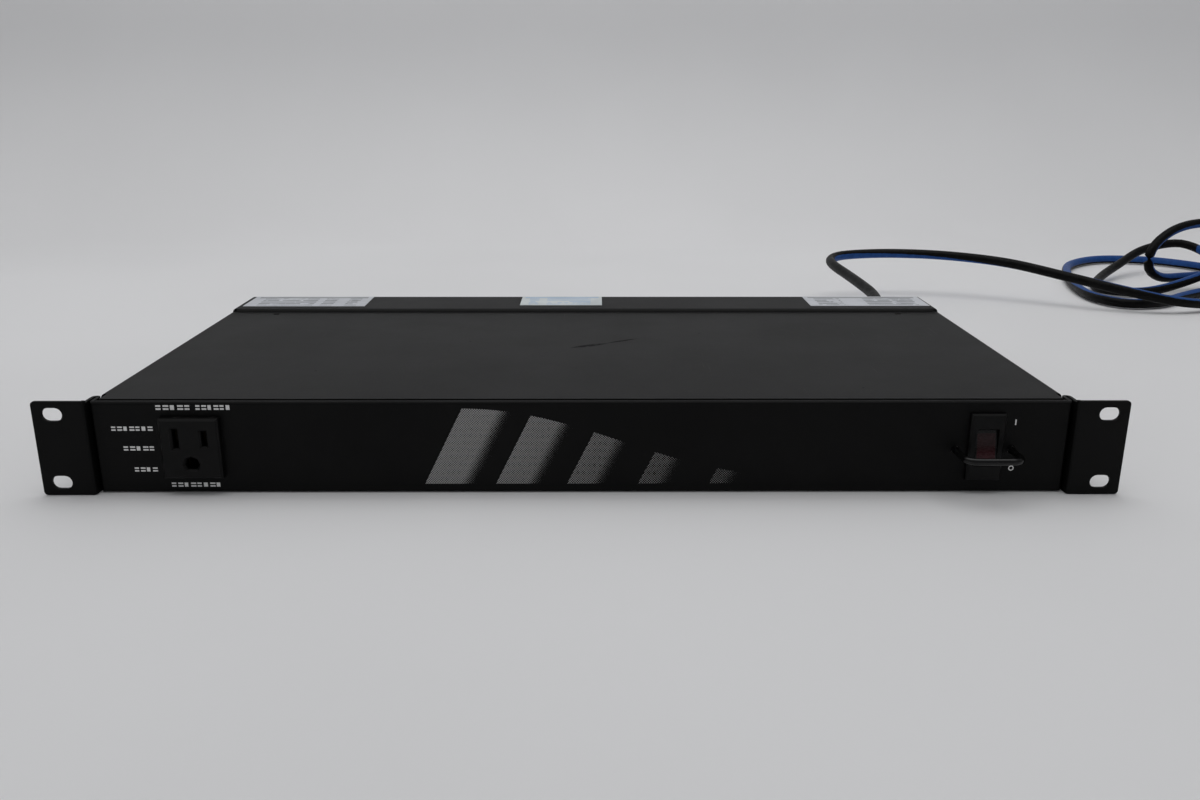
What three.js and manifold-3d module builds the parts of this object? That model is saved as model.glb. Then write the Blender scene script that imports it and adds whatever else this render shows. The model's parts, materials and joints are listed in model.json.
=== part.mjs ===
// A one-unit, 19-inch rack power strip with one outlet and a guarded rocker switch in front,
// eight outlets behind and a fixed power cord.
// Millimetres, +Z up. +X is to the right seen from the front and +Y runs to the rear.
// Everything is drawn from the front plane of the rack ears, at their bottom edge, half way
// between them. The finished group is then moved back so that the origin is at the centre of
// the flat underside.

import * as THREE from "three";
import { mergeVertices } from "three/addons/utils/BufferGeometryUtils.js";
import Module from "manifold-3d";

const wasm = await Module();
wasm.setup();

// ---------------------------------------------------------------- driving dimensions

const RAD = Math.PI / 180;
const GAP = 0.3; // free space between neighbouring sheets

const EAR_SPAN = 482.6; // 19 in over the ears
const PANEL_HEIGHT = 43.7; // one rack unit, less clearance
const EAR_HOLE_X = 232.55; // half of the 465.1 mm hole spacing
const EAR_HOLE_RISE = 15.875; // holes above and below mid height
const EAR_HOLE = { width: 9.2, height: 6.2 };
const EAR_CORNER = 1.5;

const PLATE = 1.5; // thickness of the folded front plate
const PANEL_Y = 3; // the panel sits behind the front plane of the ears
const PANEL_HALF = 217;
const PANEL_BEND = 1.6;
const PANEL_TOP = 42.7; // the folded part stands lower than the ears
const HEM_CENTRE = { x: 217.5, y: 10.7 }; // where the plate turns back outside itself
const HEM_INNER = 0.5;
const EAR_BEND = 1.3;
const LIP_DEPTH = 2.6; // top and bottom returns of the panel

const SHEET = 1.2; // thickness of the chassis sheets
const TRAY_HALF = 214.2;
const TRAY_FRONT = 6.4;
const TRAY_REAR = 226.8;
const TRAY_LIP = 14;
const TRAY_FRONT_LIP = 7;
const REAR_WALL_TOP = 42.9;

const COVER_HALF = 216.8;
const COVER_TOP = 43.1;
const COVER_BEND = 2;
const COVER_FRONT = 6.2;
const COVER_SIDE_FRONT = 14.2;
const COVER_REAR = 190.8;
const COVER_NOTCHES = [-187.4, 189.7];
const NOTCH = { width: 3.6, front: 182.2, rear: 184.4 };

const HOOD_HALF = 216.3;
const HOOD_TOP = 44.9;
const HOOD_BEND = 2.5;
const HOOD_FRONT = 191.2;
const HOOD_REAR = 227.4;

const OUTLET = { width: 26.5, height: 28, proud: 4, chamfer: 1, depth: 20 };
const OUTLET_BODY = { width: 24.4, height: 26.4 };
const OUTLET_Z = 21.9;
const FRONT_OUTLET_X = -173.4;
const REAR_OUTLET_COUNT = 8;
const REAR_OUTLET_FIRST = -188;
const REAR_OUTLET_PITCH = 44;
const BLADE_X = 6.35; // blades sit 12.7 mm apart
const BLADE_Z = 4.6;
const GROUND_Z = -7.2;
const SLOT_WIDTH = 2.2;
const NEUTRAL_SLOT = 8.6;
const LINE_SLOT = 6.8;
const GROUND_RADIUS = 3.15;
const LEAD_IN = 0.9;

const SWITCH = { x: 180, z: 21.8 };
const BEZEL = { width: 15.7, height: 31.2, front: 0.4, chamfer: 0.8 };
const SWITCH_BODY = { width: 12.6, height: 27.6, rear: 27 };
const ROCKER_WINDOW = { halfWidth: 5, halfHeight: 8.6, rear: 25 };
const ROCKER_PIVOT_Y = 5.2;
const ROCKER_HALF_WIDTH = 4.7;
const ROCKER_TILT = 10 * RAD; // the rocker rests this far to its ON side of centre
const ROCKER_CROWN = { front: -5, cornerY: -4, cornerZ: 7.1, rear: 1 };
const TRUNNION = { radius: 1.2, reach: 5.7, bore: 1.28 };
const ARM_Y = 13.2;
const ARM_TILT = 6 * RAD;

const GUARD = { left: 167, right: 192, z: 20.1, front: -13, rear: 7.5, radius: 1.6, bend: 5 };

const CORD_RADIUS = 3.9;
const CORD_EXIT = { x: 198, z: 24 };
const CORD_START_Y = 217;
const WIRE_RADIUS = 1.3;
const SOLDER_GAP = 0.5;

const PLUG = { x: 672, y: 510, z: 13.5, neck: 14, length: 40, halfWidth: 13, halfHeight: 13 };

// ---------------------------------------------------------------- materials

function finish(color, roughness, metalness) {
  return new THREE.MeshStandardMaterial({ color, roughness, metalness });
}

const blackSteel = finish(0x17181a, 0.55, 0.2);
const coverSteel = finish(0x34353a, 0.6, 0.2);
const blackPlastic = finish(0x101113, 0.4, 0);
const redPlastic = finish(0x4a1218, 0.25, 0);
const brass = finish(0xb89a4a, 0.35, 1);
const zincSteel = finish(0x9a9ca0, 0.4, 1);
const glossSteel = finish(0x0b0b0c, 0.2, 0.2);
const jacket = finish(0x141416, 0.5, 0);
const glass = finish(0xd8c8b8, 0.1, 0);
const labelFilm = finish(0xc9ccd2, 0.5, 0);
const blackWire = finish(0x151515, 0.5, 0);
const whiteWire = finish(0xe0e0dc, 0.5, 0);
const greenWire = finish(0x1f6b38, 0.5, 0);

// ---------------------------------------------------------------- shapes and solids

/** Places a drawing and its extrusion direction: x draws in (y, z), y in (x, z), z in (x, y). */
const DRAWING_FRAMES = {
  x: new THREE.Matrix4().makeBasis(
    new THREE.Vector3(0, 1, 0), new THREE.Vector3(0, 0, 1), new THREE.Vector3(1, 0, 0)),
  y: new THREE.Matrix4().makeBasis(
    new THREE.Vector3(1, 0, 0), new THREE.Vector3(0, 0, 1), new THREE.Vector3(0, -1, 0)),
  z: new THREE.Matrix4(),
};

/** A prism of a flat drawing along one axis, from one coordinate to a higher one. */
function prism(shape, axis, from, to, curveSegments = 4) {
  const options = { depth: to - from, bevelEnabled: false, curveSegments };
  const geometry = new THREE.ExtrudeGeometry(shape, options);
  geometry.applyMatrix4(DRAWING_FRAMES[axis]);
  const start = { x: [from, 0, 0], y: [0, to, 0], z: [0, 0, from] }[axis];
  geometry.translate(...start);
  return geometry;
}

/** An upright box given by its lowest and highest corners. */
function block([x0, y0, z0], [x1, y1, z1]) {
  const geometry = new THREE.BoxGeometry(x1 - x0, y1 - y0, z1 - z0);
  geometry.translate((x0 + x1) / 2, (y0 + y1) / 2, (z0 + z1) / 2);
  return geometry;
}

/** A rectangle of one size at y0 that narrows by inset on every side at y1, about x and z. */
function taper(x, z, width, height, y0, y1, inset) {
  const geometry = new THREE.BoxGeometry(width, Math.abs(y1 - y0), height);
  geometry.translate(0, (y0 + y1) / 2, 0);
  const position = geometry.attributes.position;
  for (let i = 0; i < position.count; i += 1) {
    if (Math.abs(position.getY(i) - y1) < 1e-6) {
      position.setX(i, position.getX(i) * (1 - (2 * inset) / width));
      position.setZ(i, position.getZ(i) * (1 - (2 * inset) / height));
    }
  }
  geometry.translate(x, 0, z);
  return geometry;
}

/** A regular polygon that stands for a circle, its corners on the given radius. */
function disc(x, y, radius, sides = 12) {
  const points = [];
  for (let i = 0; i < sides; i += 1) {
    const angle = (2 * Math.PI * (i + 0.5)) / sides;
    points.push(new THREE.Vector2(x + radius * Math.cos(angle), y + radius * Math.sin(angle)));
  }
  return new THREE.Shape(points);
}

/** A polygon through [x, y] points. */
function polygon(points) {
  return new THREE.Shape(points.map(([x, y]) => new THREE.Vector2(x, y)));
}

/** A horizontal slot with half-round ends. */
function stadium(x, y, width, height) {
  const r = height / 2;
  const reach = width / 2 - r;
  const shape = new THREE.Shape();
  shape.absarc(x + reach, y, r, -Math.PI / 2, Math.PI / 2, false);
  shape.absarc(x - reach, y, r, Math.PI / 2, 1.5 * Math.PI, false);
  return shape;
}

/** A corner square less its quarter circle: cut away, it leaves an outside edge rounded. */
function cornerWaste(x, y, towardX, towardY, radius) {
  const spare = 1;
  const shape = new THREE.Shape();
  shape.moveTo(x + towardX * spare, y + towardY * spare);
  shape.lineTo(x - towardX * radius, y + towardY * spare);
  const steps = 3;
  for (let i = 0; i <= steps; i += 1) {
    const angle = (i / steps) * (Math.PI / 2);
    const across = radius * (1 - Math.sin(angle));
    const along = radius * (1 - Math.cos(angle));
    shape.lineTo(x - towardX * across, y - towardY * along);
  }
  shape.lineTo(x + towardX * spare, y - towardY * radius);
  return shape;
}

/** A round bar that follows a smooth curve through [x, y, z] points. */
function cable(points, radius, sides, steps) {
  const path = new THREE.CatmullRomCurve3(points.map((point) => new THREE.Vector3(...point)));
  return sweep(path, radius, sides, steps);
}

function sweep(path, radius, sides, steps) {
  return new THREE.ExtrudeGeometry(disc(0, 0, radius, sides), { steps, extrudePath: path });
}

/** A closed geometry as a solid that can be joined and cut. */
function solid(geometry) {
  const bare = geometry.clone();
  bare.deleteAttribute("normal");
  bare.deleteAttribute("uv");
  const merged = mergeVertices(bare, 1e-4);
  const mesh = new wasm.Mesh({
    numProp: 3,
    vertProperties: new Float32Array(merged.attributes.position.array),
    triVerts: new Uint32Array(merged.index.array),
  });
  return new wasm.Manifold(mesh);
}

/** The first geometry with others joined to it and then others cut from it. */
function carve(base, joined, cut) {
  let result = solid(base);
  for (const geometry of joined) {
    result = result.add(solid(geometry));
  }
  for (const geometry of cut) {
    result = result.subtract(solid(geometry));
  }
  const mesh = result.getMesh();
  const geometry = new THREE.BufferGeometry();
  geometry.setAttribute("position", new THREE.BufferAttribute(mesh.vertProperties, 3));
  geometry.setIndex(new THREE.BufferAttribute(mesh.triVerts, 1));
  const flat = geometry.toNonIndexed();
  flat.computeVertexNormals();
  return flat;
}

// ---------------------------------------------------------------- assembly

const powerStrip = new THREE.Group();

function addPart(name, geometry, material, parent = powerStrip) {
  const mesh = new THREE.Mesh(geometry, material);
  mesh.name = name;
  parent.add(mesh);
  return mesh;
}

// ---------------------------------------------------------------- folded front plate

/** Seen from above: panel, side return, hem and ear, all one sheet. */
function faceplateOutline() {
  const { x: hemX, y: hemY } = HEM_CENTRE;
  const inner = HEM_INNER;
  const outer = HEM_INNER + PLATE;
  const ear = EAR_SPAN / 2;
  const flangeInside = hemX + inner;
  const flangeOutside = hemX + outer;
  const rightFront = new THREE.Path();
  rightFront.absarc(PANEL_HALF - PANEL_BEND, PANEL_Y + PANEL_BEND, PANEL_BEND, -Math.PI / 2, 0);
  rightFront.absarc(hemX, hemY, inner, Math.PI, 0, true);
  rightFront.absarc(flangeInside + EAR_BEND, EAR_BEND, EAR_BEND, Math.PI, 1.5 * Math.PI);
  rightFront.lineTo(ear, 0);
  rightFront.lineTo(ear, PLATE);
  rightFront.lineTo(flangeOutside, PLATE);
  rightFront.absarc(hemX, hemY, outer, 0, Math.PI);
  rightFront.lineTo(hemX - outer, PANEL_Y + PLATE);
  const right = rightFront.getPoints(4);
  const left = right.map((point) => new THREE.Vector2(-point.x, point.y)).reverse();
  return new THREE.Shape([...right, ...left]);
}

function faceplateGeometry() {
  const middle = PANEL_HEIGHT / 2;
  const joined = [];
  const cut = [];
  const lipHalf = PANEL_HALF - PLATE - GAP;
  for (const [low, high] of [[0, PLATE], [PANEL_TOP - PLATE, PANEL_TOP]]) {
    joined.push(block([-lipHalf, PANEL_Y + PLATE / 2, low], [lipHalf, PANEL_Y + LIP_DEPTH, high]));
  }
  const foldHalf = HEM_CENTRE.x + HEM_INNER + 2 * PLATE;
  const foldRear = HEM_CENTRE.y + HEM_INNER + 2 * PLATE;
  const foldFront = PANEL_Y - 1;
  const above = PANEL_HEIGHT + 1;
  cut.push(block([-foldHalf, foldFront, PANEL_TOP], [foldHalf, foldRear, above]));
  for (const [z, up] of [[PANEL_TOP, 1], [0, -1]]) {
    cut.push(prism(cornerWaste(PANEL_Y, z, -1, up, PLATE), "x", -PANEL_HALF, PANEL_HALF));
  }
  for (const side of [-1, 1]) {
    for (const end of [-1, 1]) {
      const slotZ = middle + end * EAR_HOLE_RISE;
      const slot = stadium(side * EAR_HOLE_X, slotZ, EAR_HOLE.width, EAR_HOLE.height);
      cut.push(prism(slot, "y", -1, PLATE + 1));
      const cornerZ = end < 0 ? 0 : PANEL_HEIGHT;
      const waste = cornerWaste((side * EAR_SPAN) / 2, cornerZ, side, end, EAR_CORNER);
      cut.push(prism(waste, "y", -1, PLATE + 1));
    }
  }
  cut.push(opening(FRONT_OUTLET_X, OUTLET_Z, OUTLET_BODY, PANEL_Y));
  cut.push(opening(SWITCH.x, SWITCH.z, SWITCH_BODY, PANEL_Y));
  for (const x of [GUARD.left, GUARD.right]) {
    cut.push(prism(disc(x, GUARD.z, GUARD.radius + GAP), "y", PANEL_Y - 1, PANEL_Y + PLATE + 1));
  }
  return carve(prism(faceplateOutline(), "z", 0, PANEL_HEIGHT), joined, cut);
}

/** A cutter for the panel hole that a snap-in body passes through, with its sheet at y. */
function opening(x, z, body, y) {
  const halfWidth = body.width / 2 + GAP;
  const halfHeight = body.height / 2 + GAP;
  return block([x - halfWidth, y - 1, z - halfHeight], [x + halfWidth, y + PLATE + 1, z + halfHeight]);
}

// ---------------------------------------------------------------- chassis sheets

/** The section of a sheet folded down over both sides, drawn in (x, z). */
function saddleOutline(half, top, bend) {
  const inner = Math.max(bend - SHEET, 0.4);
  const outline = new THREE.Path();
  outline.moveTo(half, 0);
  outline.absarc(half - bend, top - bend, bend, 0, Math.PI / 2);
  outline.absarc(bend - half, top - bend, bend, Math.PI / 2, Math.PI);
  outline.lineTo(-half, 0);
  outline.lineTo(SHEET - half, 0);
  outline.absarc(SHEET + inner - half, top - SHEET - inner, inner, Math.PI, Math.PI / 2, true);
  outline.absarc(half - SHEET - inner, top - SHEET - inner, inner, Math.PI / 2, 0, true);
  outline.lineTo(half - SHEET, 0);
  return new THREE.Shape(outline.getPoints(3));
}

const COVER_SCREW_PLACES = [45, 160];
const HOOD_SCREW_PLACES = [209];
const SCREW_Z = 8;
const SCREW = { radius: 1.5, head: 3, headHeight: 1.4, length: 5 };

/** Cutters for the screw holes through both side walls. */
function screwHoles(places, from, to) {
  const holes = [];
  for (const y of places) {
    const shape = disc(y, SCREW_Z, SCREW.radius + GAP, 8);
    holes.push(prism(shape, "x", -to, -from));
    holes.push(prism(shape, "x", from, to));
  }
  return holes;
}

function trayGeometry() {
  const half = TRAY_HALF;
  const inside = half - SHEET;
  const joined = [
    block([-half, TRAY_FRONT, 0], [-inside, TRAY_REAR, TRAY_LIP]),
    block([inside, TRAY_FRONT, 0], [half, TRAY_REAR, TRAY_LIP]),
    block([-half, TRAY_FRONT, 0], [half, TRAY_FRONT + SHEET, TRAY_FRONT_LIP]),
    block([-half, TRAY_REAR - SHEET, 0], [half, TRAY_REAR, REAR_WALL_TOP]),
  ];
  const places = [...COVER_SCREW_PLACES, ...HOOD_SCREW_PLACES];
  const cut = screwHoles(places, inside - 1, half + 1);
  for (const x of rearOutletPlaces()) {
    cut.push(opening(x, OUTLET_Z, OUTLET_BODY, TRAY_REAR - SHEET));
  }
  const cordHole = disc(CORD_EXIT.x, CORD_EXIT.z, BUSHING.neck + GAP, 16);
  cut.push(prism(cordHole, "y", TRAY_REAR - 3, TRAY_REAR + 1));
  cut.push(prism(disc(GROUND_SCREW.x, GROUND_SCREW.y, 2.3), "z", -1, SHEET + 1));
  return carve(block([-half, TRAY_FRONT, 0], [half, TRAY_REAR, SHEET]), joined, cut);
}

function coverGeometry() {
  const low = COVER_TOP - SHEET;
  const frontHalf = TRAY_HALF - GAP;
  const tongueHalf = 205;
  const joined = [
    block([-frontHalf, COVER_FRONT, low], [frontHalf, COVER_SIDE_FRONT + 1, COVER_TOP]),
    block([-tongueHalf, COVER_REAR - 1, low], [tongueHalf, COVER_REAR + 6, COVER_TOP]),
  ];
  const cut = screwHoles(COVER_SCREW_PLACES, COVER_HALF - SHEET - 0.5, COVER_HALF + 1);
  for (const x of COVER_NOTCHES) {
    const half = NOTCH.width / 2;
    cut.push(block([x - half, NOTCH.front, low - 1], [x + half, NOTCH.rear, COVER_TOP + 1]));
  }
  const section = saddleOutline(COVER_HALF, COVER_TOP, COVER_BEND);
  return carve(prism(section, "y", COVER_SIDE_FRONT, COVER_REAR), joined, cut);
}

function hoodGeometry() {
  const lipHalf = HOOD_HALF - HOOD_BEND;
  const lipLow = COVER_TOP + GAP;
  const lipHigh = HOOD_TOP - SHEET / 2;
  const joined = [block([-lipHalf, HOOD_FRONT, lipLow], [lipHalf, HOOD_FRONT + SHEET, lipHigh])];
  const cut = screwHoles(HOOD_SCREW_PLACES, HOOD_HALF - SHEET - 0.5, HOOD_HALF + 1);
  const section = saddleOutline(HOOD_HALF, HOOD_TOP, HOOD_BEND);
  return carve(prism(section, "y", HOOD_FRONT, HOOD_REAR), joined, cut);
}

/** A pan-head screw driven inward along X at one side of the chassis. */
function sideScrew(side, faceX, y) {
  const { radius, head, headHeight, length } = SCREW;
  const inner = faceX - length;
  const outer = faceX + headHeight;
  const shank = prism(disc(y, SCREW_Z, radius, 8), "x", inner, faceX + headHeight / 2);
  const cap = prism(disc(y, SCREW_Z, head, 12), "x", faceX + 0.05, outer);
  const drive = 0.7;
  const recess = [
    block([outer - drive, y - 1.7, SCREW_Z - 0.4], [outer + 1, y + 1.7, SCREW_Z + 0.4]),
    block([outer - drive, y - 0.4, SCREW_Z - 1.7], [outer + 1, y + 0.4, SCREW_Z + 1.7]),
  ];
  const geometry = carve(shank, [cap], recess);
  if (side < 0) {
    geometry.rotateZ(Math.PI);
    geometry.translate(0, 2 * y, 0);
  }
  return geometry;
}

function addChassis() {
  addPart("faceplate", faceplateGeometry(), blackSteel);
  addPart("chassis_tray", trayGeometry(), blackSteel);
  addPart("top_cover", coverGeometry(), coverSteel);
  addPart("rear_hood", hoodGeometry(), coverSteel);
  for (const [sideName, side] of [["left", -1], ["right", 1]]) {
    COVER_SCREW_PLACES.forEach((y, i) => {
      const name = `cover_screw_${sideName}_${i + 1}`;
      addPart(name, sideScrew(side, COVER_HALF, y), zincSteel);
    });
    for (const y of HOOD_SCREW_PLACES) {
      addPart(`hood_screw_${sideName}`, sideScrew(side, HOOD_HALF, y), zincSteel);
    }
  }
}

const LABELS = [
  { name: "label_left", from: -212, to: -136.8, front: 197 },
  { name: "label_middle", from: -41, to: 10, front: 200 },
  { name: "label_right", from: 139.5, to: 213.5, front: 198 },
];
const LABEL_THICKNESS = 0.2;

function addLabels() {
  for (const { name, from, to, front } of LABELS) {
    const high = HOOD_TOP + LABEL_THICKNESS;
    addPart(name, block([from, front, HOOD_TOP], [to, HOOD_REAR - 0.4, high]), labelFilm);
  }
}

// ---------------------------------------------------------------- outlets and their contacts
// An outlet is drawn about its own centre, facing -Y, with its flange seated at y = 0.

const POCKETS = {
  neutral: { x: -BLADE_X, z: BLADE_Z, slot: NEUTRAL_SLOT, width: 5 },
  line: { x: BLADE_X, z: BLADE_Z, slot: LINE_SLOT, width: 5 },
  ground: { x: 0, z: GROUND_Z, slot: 2 * GROUND_RADIUS - 0.8, width: 7.6 },
};

/** The round-topped, flat-bottomed ground hole, drawn in (x, z). */
function groundHole() {
  const flat = -GROUND_RADIUS + 0.8;
  const start = Math.asin(flat / GROUND_RADIUS);
  const shape = new THREE.Shape();
  shape.absarc(0, GROUND_Z, GROUND_RADIUS, start, Math.PI - start);
  return shape;
}

/** The ground hole's lead-in, as deep as the slots' and spread wider at the outlet's face. */
function groundFlare(face) {
  const geometry = prism(groundHole(), "y", face - 0.01, face + LEAD_IN, 3);
  const position = geometry.attributes.position;
  const spread = 1 + LEAD_IN / GROUND_RADIUS;
  for (let i = 0; i < position.count; i += 1) {
    if (position.getY(i) < face) {
      position.setX(i, position.getX(i) * spread);
      position.setZ(i, GROUND_Z + (position.getZ(i) - GROUND_Z) * spread);
    }
  }
  return geometry;
}

function outletGeometry() {
  const { width, height, proud, chamfer, depth } = OUTLET;
  const flange = taper(0, 0, width, height, chamfer - proud, -proud, chamfer);
  const base = block([-width / 2, chamfer - proud, -height / 2], [width / 2, 0, height / 2]);
  const half = { x: OUTLET_BODY.width / 2, z: OUTLET_BODY.height / 2 };
  const body = block([-half.x, -0.5, -half.z], [half.x, depth, half.z]);
  const face = -proud;
  const skin = face + 2.5;
  const cut = [prism(groundHole(), "y", face - 1, depth - 1, 3), groundFlare(face)];
  for (const { x, z, slot, width: pocket } of Object.values(POCKETS)) {
    const top = z + slot / 2 + 0.5;
    const bottom = z - slot / 2 - 0.5;
    cut.push(block([x - pocket / 2, skin, bottom], [x + pocket / 2, depth + 1, top]));
  }
  for (const { x, z, slot } of [POCKETS.neutral, POCKETS.line]) {
    const reach = { x: SLOT_WIDTH / 2, z: slot / 2 };
    cut.push(block([x - reach.x, face - 1, z - reach.z], [x + reach.x, skin + 1, z + reach.z]));
    const flare = { width: SLOT_WIDTH + 2 * LEAD_IN, height: slot + 2 * LEAD_IN };
    cut.push(taper(x, z, flare.width, flare.height, face - 0.01, face + LEAD_IN, LEAD_IN));
  }
  return carve(base, [flange, body], cut);
}

const FORK = { front: 1, rear: 15, leaf: 0.5, bladeGap: 1.7, groundGap: 5 };

/** A spring fork that grips one blade or pin: two leaves joined by a web at the rear. */
function fork(x, z, gap, height) {
  const inner = gap / 2;
  const outer = inner + FORK.leaf;
  const { front, rear, leaf } = FORK;
  const outline = polygon([
    [x - outer, front], [x - inner, front], [x - inner, rear - leaf], [x + inner, rear - leaf],
    [x + inner, front], [x + outer, front], [x + outer, rear], [x - outer, rear],
  ]);
  return prism(outline, "z", z - height / 2, z + height / 2);
}

const CONTACTS = {
  neutral: { ...POCKETS.neutral, gap: FORK.bladeGap, height: 6, barLow: 10, barHigh: 14 },
  line: { ...POCKETS.line, gap: FORK.bladeGap, height: 6, barLow: -4, barHigh: 0 },
  ground: { ...POCKETS.ground, gap: FORK.groundGap, height: 4, barLow: -14, barHigh: -10 },
};
const TAB = { thickness: 0.8, width: 4, rear: 27 };

/** A fork with a tab that stands out behind the outlet for one wire. */
function singleContact({ x, z, gap, height }) {
  const half = TAB.thickness / 2;
  const low = z - TAB.width / 2;
  const high = z + TAB.width / 2;
  const tab = block([x - half, FORK.rear - FORK.leaf / 2, low], [x + half, TAB.rear, high]);
  return carve(fork(x, z, gap, height), [tab], []);
}

const BAR = { front: 21.3, rear: 22.1, overhang: 10, riser: 3 };

/** One strip with a fork for each rear outlet, standing behind the outlet bodies. */
function busBar({ x, z, gap, height, barLow, barHigh }) {
  const places = rearOutletPlaces();
  const right = Math.max(...places) + BAR.overhang;
  const left = Math.min(...places) - BAR.overhang;
  const bar = block([-right, BAR.front, barLow], [-left, BAR.rear, barHigh]);
  const half = TAB.thickness / 2;
  const low = Math.min(z - height / 2, barLow + 1);
  const high = Math.max(z + height / 2, barHigh - 1);
  const joined = [];
  for (const place of places) {
    const at = -place + x;
    const stem = { low: z - 2, high: z + 2 };
    joined.push(fork(at, z, gap, height));
    joined.push(block([at - half, FORK.rear - 0.2, stem.low], [at + half, BAR.rear, stem.high]));
    joined.push(block([at - BAR.riser, BAR.front, low], [at + BAR.riser, BAR.rear, high]));
  }
  return carve(bar, joined, []);
}

function rearOutletPlaces() {
  const places = [];
  for (let i = 0; i < REAR_OUTLET_COUNT; i += 1) {
    places.push(REAR_OUTLET_FIRST + i * REAR_OUTLET_PITCH);
  }
  return places;
}

/** A group that turns things drawn facing the front to face the rear, on the rear wall. */
function facingRear(x) {
  const group = new THREE.Group();
  group.position.set(x, TRAY_REAR + 0.05, OUTLET_Z);
  group.rotation.z = Math.PI;
  powerStrip.add(group);
  return group;
}

function addOutlets() {
  const front = new THREE.Group();
  front.position.set(FRONT_OUTLET_X, PANEL_Y - 0.05, OUTLET_Z);
  powerStrip.add(front);
  const housing = outletGeometry();
  addPart("front_outlet", housing, blackPlastic, front);
  rearOutletPlaces().forEach((x, i) => {
    addPart(`rear_outlet_${i + 1}`, housing, blackPlastic, facingRear(x));
  });
  const rear = facingRear(0);
  for (const [name, contact] of Object.entries(CONTACTS)) {
    addPart(`front_${name}_contact`, singleContact(contact), brass, front);
    addPart(`${name}_bus_bar`, busBar(contact), brass, rear);
  }
}

// ---------------------------------------------------------------- switch
// Switch pieces are drawn about the middle of the rocker window, with y in the unit's frame.

function switchHousingGeometry() {
  const { width, height, front, chamfer } = BEZEL;
  const half = { x: width / 2, z: height / 2 };
  const bezel = taper(0, 0, width, height, front + chamfer, front, chamfer);
  const seat = PANEL_Y - 0.05;
  const base = block([-half.x, front + chamfer, -half.z], [half.x, seat, half.z]);
  const body = { x: SWITCH_BODY.width / 2, z: SWITCH_BODY.height / 2 };
  const barrel = block([-body.x, seat - 0.5, -body.z], [body.x, SWITCH_BODY.rear, body.z]);
  const { halfWidth, halfHeight, rear } = ROCKER_WINDOW;
  const cut = [block([-halfWidth, front - 1, -halfHeight], [halfWidth, rear, halfHeight])];
  const bore = disc(ROCKER_PIVOT_Y, 0, TRUNNION.bore, 16);
  cut.push(prism(bore, "x", -TRUNNION.reach - GAP, TRUNNION.reach + GAP));
  for (const z of [LINE_BLADE_Z, LOAD_BLADE_Z]) {
    const slot = { x: BLADE.halfWidth + 0.1, z: BLADE.thickness / 2 + 0.1 };
    cut.push(block([-slot.x, rear - 1, z - slot.z], [slot.x, SWITCH_BODY.rear + 1, z + slot.z]));
  }
  return carve(base, [bezel, barrel], cut);
}

const BLADE = { halfWidth: 3.15, thickness: 0.8, rear: 38 };
const LINE_BLADE_Z = 0;
const LOAD_BLADE_Z = -7.9;
const SADDLE_Y = 13.72;
const STRIP_REAR = 22.3;

/** A flat switch blade from inside the housing to its push-on end behind it. */
function bladeGeometry(z, from) {
  const { halfWidth, thickness, rear } = BLADE;
  return block([-halfWidth, from, z - thickness / 2], [halfWidth, rear, z + thickness / 2]);
}

/** The heat-sensitive strip that carries the fixed contact and opens it on overload. */
function bimetalGeometry() {
  const outline = polygon([
    [15.05, -7.8], [15.05, -6.2], [15.6, -6.2], [15.6, -5.5], [16.1, -5.5], [16.1, -7.6],
    [STRIP_REAR, -7.6], [STRIP_REAR, -8.2], [15.6, -8.2], [15.6, -7.8],
  ]);
  return prism(outline, "x", -2, 2);
}

/** The see-saw contact, drawn about its rocking edge, with its moving contact below. */
function contactArmGeometry() {
  const strip = block([-2, -0.4, -8], [2, 0.4, 8]);
  const contact = prism(disc(0, -6.9, 1.3, 8), "y", 0.2, 1);
  return carve(strip, [contact], []);
}

/** The rocker's side view about its trunnions, level between ON and OFF. */
function rockerOutline() {
  const { front, cornerY, cornerZ, rear } = ROCKER_CROWN;
  const radius = Math.hypot(cornerY, cornerZ);
  const start = Math.atan2(cornerZ, cornerY);
  const end = Math.acos(rear / radius);
  const shape = new THREE.Shape();
  shape.moveTo(front, 0);
  shape.absarc(0, 0, radius, start, end, true);
  shape.absarc(0, 0, radius, -end, -start, true);
  return shape;
}

const TAIL = { halfWidth: 2.5, halfHeight: 2.6, front: -3.2, rear: 4, bore: 1.65, boreFront: -1.5 };

function rockerGeometry() {
  const half = ROCKER_HALF_WIDTH;
  const hollow = block([-half + 1.1, -2.8, -6.2], [half - 1.1, 2, 6.2]);
  const { halfWidth, halfHeight, front, rear, bore, boreFront } = TAIL;
  const tail = block([-halfWidth, front, -halfHeight], [halfWidth, rear, halfHeight]);
  const trunnion = disc(0, 0, TRUNNION.radius, 16);
  const pins = [
    prism(trunnion, "x", -TRUNNION.reach, -half + 0.5),
    prism(trunnion, "x", half - 0.5, TRUNNION.reach),
  ];
  const cap = carve(prism(rockerOutline(), "x", -half, half, 3), [], [hollow]);
  return carve(cap, [tail, ...pins], [prism(disc(0, 0, bore, 10), "y", boreFront, rear + 1)]);
}

/** The sliding pin that presses the see-saw from inside the rocker's tail. */
function plungerGeometry() {
  const radius = 1.4;
  const tip = 7.5;
  const shoulder = 1.2;
  const profile = [[0, shoulder], [radius, shoulder], [radius, tip - 1]];
  for (const angle of [30, 60]) {
    profile.push([radius * Math.cos(angle * RAD), tip - 1 + Math.sin(angle * RAD)]);
  }
  profile.push([0, tip]);
  return new THREE.LatheGeometry(profile.map(([r, y]) => new THREE.Vector2(r, y)), 10);
}

class Helix extends THREE.Curve {
  constructor(radius, from, to, turns) {
    super();
    Object.assign(this, { radius, from, to, turns });
  }

  getPoint(t, target = new THREE.Vector3()) {
    const angle = 2 * Math.PI * this.turns * t;
    const y = this.from + (this.to - this.from) * t;
    return target.set(this.radius * Math.cos(angle), y, this.radius * Math.sin(angle));
  }
}

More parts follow.
